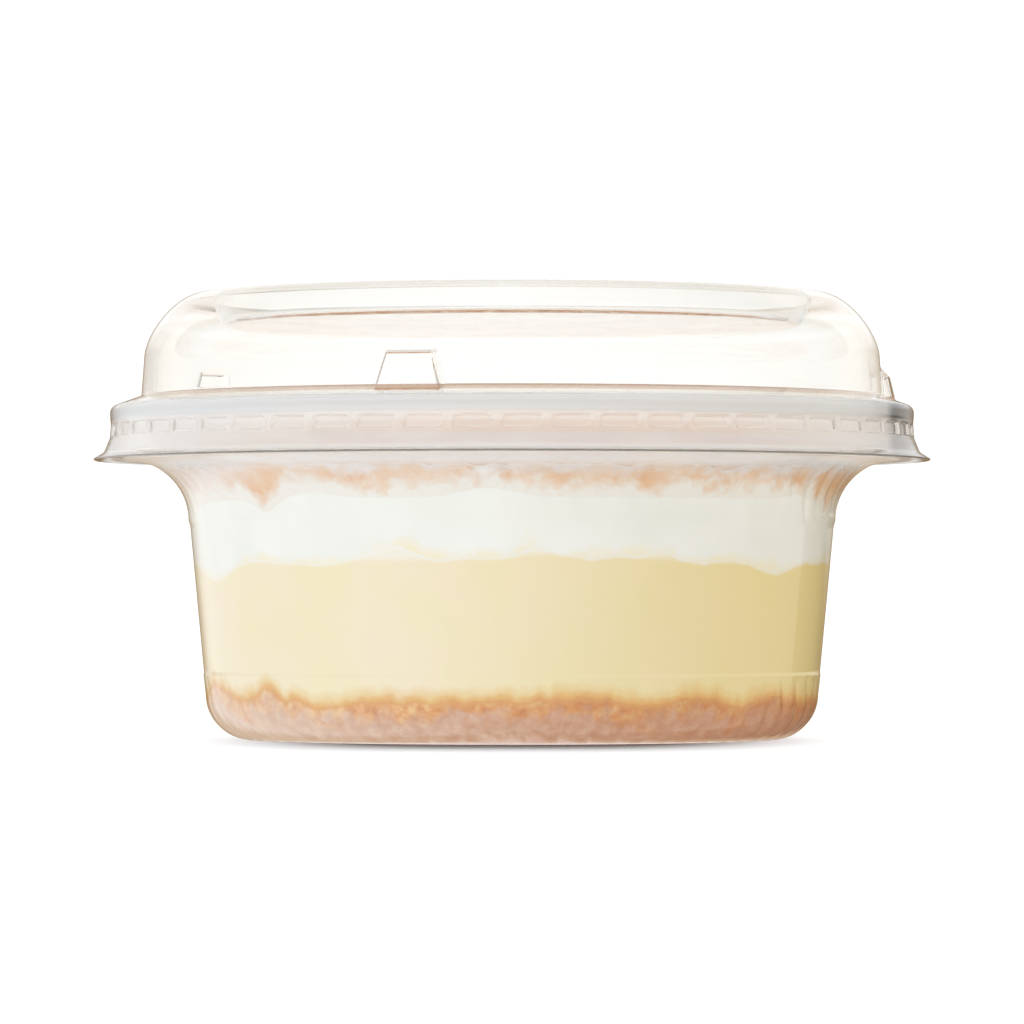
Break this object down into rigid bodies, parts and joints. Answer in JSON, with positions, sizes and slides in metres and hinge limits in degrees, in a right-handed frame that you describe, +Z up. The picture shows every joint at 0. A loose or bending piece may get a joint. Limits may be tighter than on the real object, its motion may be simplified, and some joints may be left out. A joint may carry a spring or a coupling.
{
  "type": "coconut cream pie in a clear pot",
  "caption": "Round clear dessert pot with a clear press-on dome lid, filled with a layered pie: crumb base, custard, whipped cream and a toasted coconut and crumb topping.",
  "frame": {"origin": "centre of the pot's flat foot, on the surface that it stands on", "axes": "+Z up through the lid, -Y towards the front that the picture shows, +X to its right"},
  "size_m": [0.0968, 0.097, 0.0514],
  "materials": {
    "pot_plastic": "clear, glossy, faintly grey at the edges",
    "lid_plastic": "clear, glossy",
    "baked_crumb": "moist golden-brown crumb",
    "custard": "smooth, satin, pale yellow",
    "whipped_cream": "smooth, soft white",
    "toasted_coconut": "dry crumbs and toasted flakes"
  },
  "bodies": {
    "root": {"pot": "pot_plastic", "lid": "lid_plastic", "crumb_base": "baked_crumb", "custard": "custard", "cream": "whipped_cream", "topping": "toasted_coconut"}
  },
  "joints": []
}
